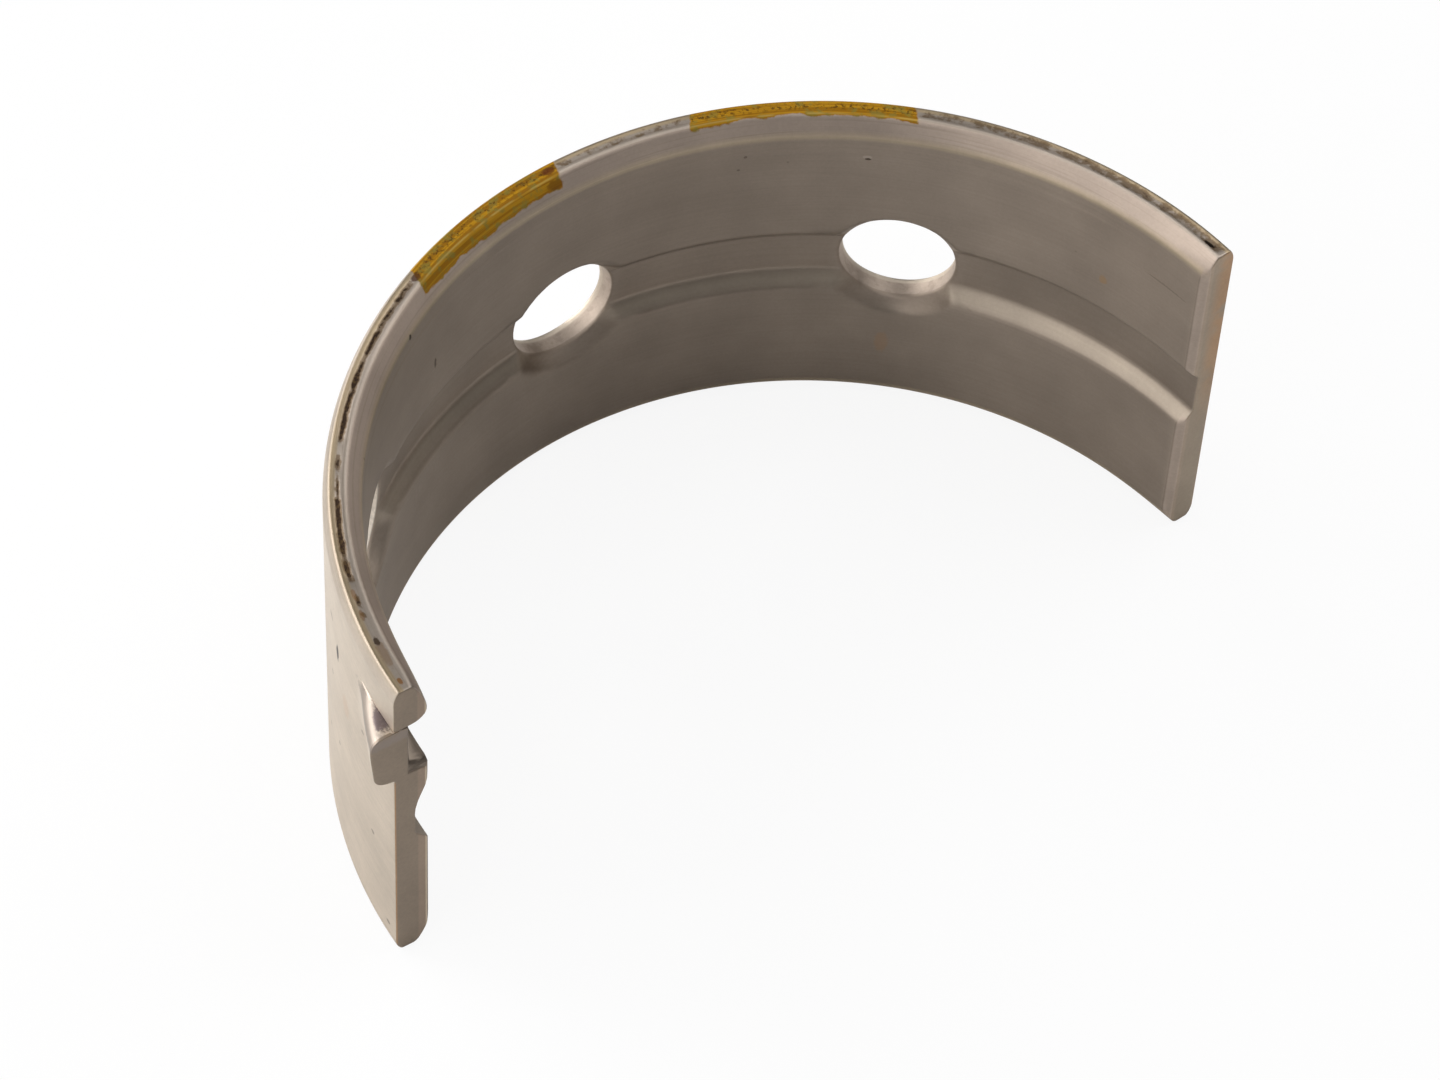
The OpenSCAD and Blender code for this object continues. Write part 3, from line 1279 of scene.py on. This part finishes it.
    def tear(self, canvas: StripCanvas, colour: Socket) -> tuple[Socket, Socket]:
        """Lays the torn line of the shears over a colour: near black, in a scorched fringe.

        Args:
            canvas: Tree of the finish.
            colour: Colour so far.

        Returns:
            The colour with the tear and the mask of its dark core.
        """
        field = add_node(canvas.tree, "ShaderNodeAttribute", out="Fac",
                         attribute_name=Field.TEAR.value)
        near = canvas.step(field, 0.02, 0.12)
        torn = canvas.shift(field, canvas.ragged, 1.8)
        core = canvas.step(torn, 1.42, 1.7)
        colour = canvas.lay(
            colour,
            (self.scorched, 0.75, canvas.step(torn, 0.98, 1.3), near),
            (self.torn, 0.92, core, near),
            (self.scorched, 0.8, core, near, canvas.step(canvas.grain, 0.5, 0.6)),
        )
        return colour, core


@dataclass
class BearingShell:
    """The half shell: one rolled strip with its finish."""

    shape: StripShape
    finish: PlatedStrip
    torn: tuple[Torn, ...] = (
        Torn(-75.9, -75.1, 0.85, 0.86, 1.06),
        Torn(-74.6, -72.4, 0.75, 0.86, 1.06),
        Torn(-70.8, -67.4, 0.95, 0.82, 1.10),
        Torn(-67.6, -58.4, 0.95, 0.81, 1.09),
        Torn(-58.8, -55.6, 0.8, 0.84, 1.02),
        Torn(-55.2, -52.0, 0.5, 0.82, 1.08),
        Torn(-50.8, -40.0, 0.95, 0.81, 1.08),
        Torn(-41.0, -36.0, 0.88, 0.82, 1.06),
        Torn(-37.0, -25.4, 0.74, 0.80, 1.08),
        Torn(-24.0, -1.0, 0.30, 0.80, 1.12),
        Torn(-0.6, 17.0, 0.20, 0.76, 1.16),
        Torn(44.8, 56.0, 0.26, 0.78, 1.20),
        Torn(54.0, 72.0, 0.34, 0.76, 1.20),
        Torn(70.0, 86.5, 0.42, 0.74, 1.18),
    )
    name: str = "plated_bearing_shell"

    def build(self) -> bpy.types.Object:
        """Makes the shell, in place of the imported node.

        Returns:
            The dressed shell.
        """
        strip = StripMesh(self.shape, self.torn).build("flat_strip")
        shell = RollTree(self.shape.bore_r).roll(strip, self.finish.material(), self.name)
        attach(shell, BODY)
        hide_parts(CAD_NODE)
        return shell


@dataclass(frozen=True)
class Lamp:
    """A soft box: where it stands and how large and bright it is. Metres and watts."""

    name: str
    place: tuple[float, float, float]
    size: float
    power: float


@dataclass
class Studio:
    """Pale floor, soft light and the photograph's camera.

    The camera is in millimetres and degrees, the floor and the lamps in metres and watts.
    """

    floor_z: float
    azimuth: float = -38.099
    elevation: float = 51.904
    roll: float = 3.616
    distance: float = 216.42
    aim: tuple[float, float, float] = (-1.506, 5.440, 0.0)
    lens: float = 139.18
    sensor: float = 36.0
    floor_half: float = 1.5
    seen_white: float = 0.9
    mirrored_white: float = 0.036
    room: float = 0.02
    paper: str = "#f4f4f4"
    white: str = "#ffffff"
    lamps: tuple[Lamp, ...] = (
        Lamp("window_behind", (-0.23, 0.56, 0.25), 0.50, 3.0),
        Lamp("window_corner", (-0.47, 0.37, 0.24), 0.50, 1.9),
        Lamp("window_left", (-0.60, -0.06, 0.25), 0.60, 1.9),
        Lamp("soft_box_front", (-0.07, -0.56, 0.33), 0.50, 0.20),
        Lamp("soft_box_right", (0.37, 0.00, 0.53), 0.50, 1.80),
        Lamp("soft_box_top", (-0.06, -0.02, 0.64), 0.60, 1.00),
    )

    def view_axes(self) -> tuple[Vector, Vector, Vector]:
        """Finds the directions of the camera from its angles.

        Returns:
            Its right, up and back directions.
        """
        az, el, roll = (math.radians(a) for a in (self.azimuth, self.elevation, self.roll))
        flat = math.cos(el)
        back = Vector((math.sin(az) * flat, -math.cos(az) * flat, math.sin(el)))
        right = Vector((0, 0, 1)).cross(back).normalized()
        up = back.cross(right)
        cos, sin = math.cos(roll), math.sin(roll)
        return (right * cos + up * sin, up * cos - right * sin, back)

    def camera(self) -> None:
        """Sets the camera at the photograph's viewing angle."""
        data = bpy.data.cameras.new("camera")
        data.sensor_fit = "HORIZONTAL"
        data.sensor_width = self.sensor
        data.lens = self.lens
        data.clip_start, data.clip_end = 0.01, 10.0
        camera = bpy.data.objects.new("camera", data)
        axes = self.view_axes()
        place = Matrix.Translation((Vector(self.aim) + axes[2] * self.distance) * MM)
        camera.matrix_world = place @ Matrix(axes).transposed().to_4x4()
        bpy.context.scene.collection.objects.link(camera)
        bpy.context.scene.camera = camera

    def paper_material(self) -> bpy.types.Material:
        """Builds the floor's paper: matt and pale, and white to the camera without more light.

        Returns:
            The material of the floor.
        """
        material = bpy.data.materials.new("pale_paper")
        material.use_nodes = True
        tree = material.node_tree
        tree.nodes.clear()
        path = add_node(tree, "ShaderNodeLightPath").node.outputs
        glow_share: Any = 0.0
        for ray, share in (("Is Camera Ray", self.seen_white),
                           ("Is Glossy Ray", self.mirrored_white),
                           ("Is Transmission Ray", self.mirrored_white)):
            part = {0: path[ray], 1: share, 2: glow_share}
            glow_share = add_node(tree, MATH, part, operation="MULTIPLY_ADD")
        paper = add_node(tree, "ShaderNodeBsdfDiffuse", {"Color": linear(self.paper)})
        glow = add_node(tree, "ShaderNodeEmission", {"Color": linear(self.white), "Strength": 1.0})
        mixed = add_node(tree, "ShaderNodeMixShader", {0: glow_share, 1: paper, 2: glow})
        add_node(tree, "ShaderNodeOutputMaterial", {"Surface": mixed})
        return material

    def floor(self) -> None:
        """Lays the pale floor that the shell stands on."""
        h = self.floor_half
        mesh = bpy.data.meshes.new("floor")
        mesh.from_pydata([(-h, -h, 0), (h, -h, 0), (h, h, 0), (-h, h, 0)], [], [(0, 1, 2, 3)])
        mesh.transform(Matrix.Translation((0, 0, self.floor_z)))
        mesh.materials.append(self.paper_material())
        floor = bpy.data.objects.new("floor", mesh)
        bpy.context.scene.collection.objects.link(floor)

    def light(self) -> None:
        """Hangs the soft boxes and sets the room's even light."""
        for lamp in self.lamps:
            data = bpy.data.lights.new(lamp.name, "AREA")
            data.shape = "SQUARE"
            data.size = lamp.size
            data.energy = lamp.power
            box = bpy.data.objects.new(lamp.name, data)
            box.location = lamp.place
            box.rotation_euler = (-Vector(lamp.place)).to_track_quat("-Z", "Y").to_euler()
            bpy.context.scene.collection.objects.link(box)
        world = bpy.data.worlds.new("room")
        world.use_nodes = True
        tree = world.node_tree
        tree.nodes.clear()
        air = add_node(tree, "ShaderNodeBackground",
                       {"Color": linear(self.white), "Strength": self.room})
        add_node(tree, "ShaderNodeOutputWorld", {"Surface": air})
        bpy.context.scene.world = world

    def build(self) -> None:
        """Makes the whole studio."""
        bpy.context.scene.view_settings.view_transform = "Standard"
        self.floor()
        self.light()
        self.camera()


def main() -> None:
    """Builds the studio and the shell, and reports each piece."""
    logging.basicConfig(level=logging.INFO, format="%(name)s: %(message)s")
    shape = StripShape.from_frame(frame["record"])
    studio = Studio(floor_z=CAD_BOX[0].z)
    studio.build()
    shell = BearingShell(shape, PlatedStrip(shape)).build()
    LOG.info("%s has %d faces", shell.name, len(shell.data.polygons))


if __name__ == "__main__":
    main()
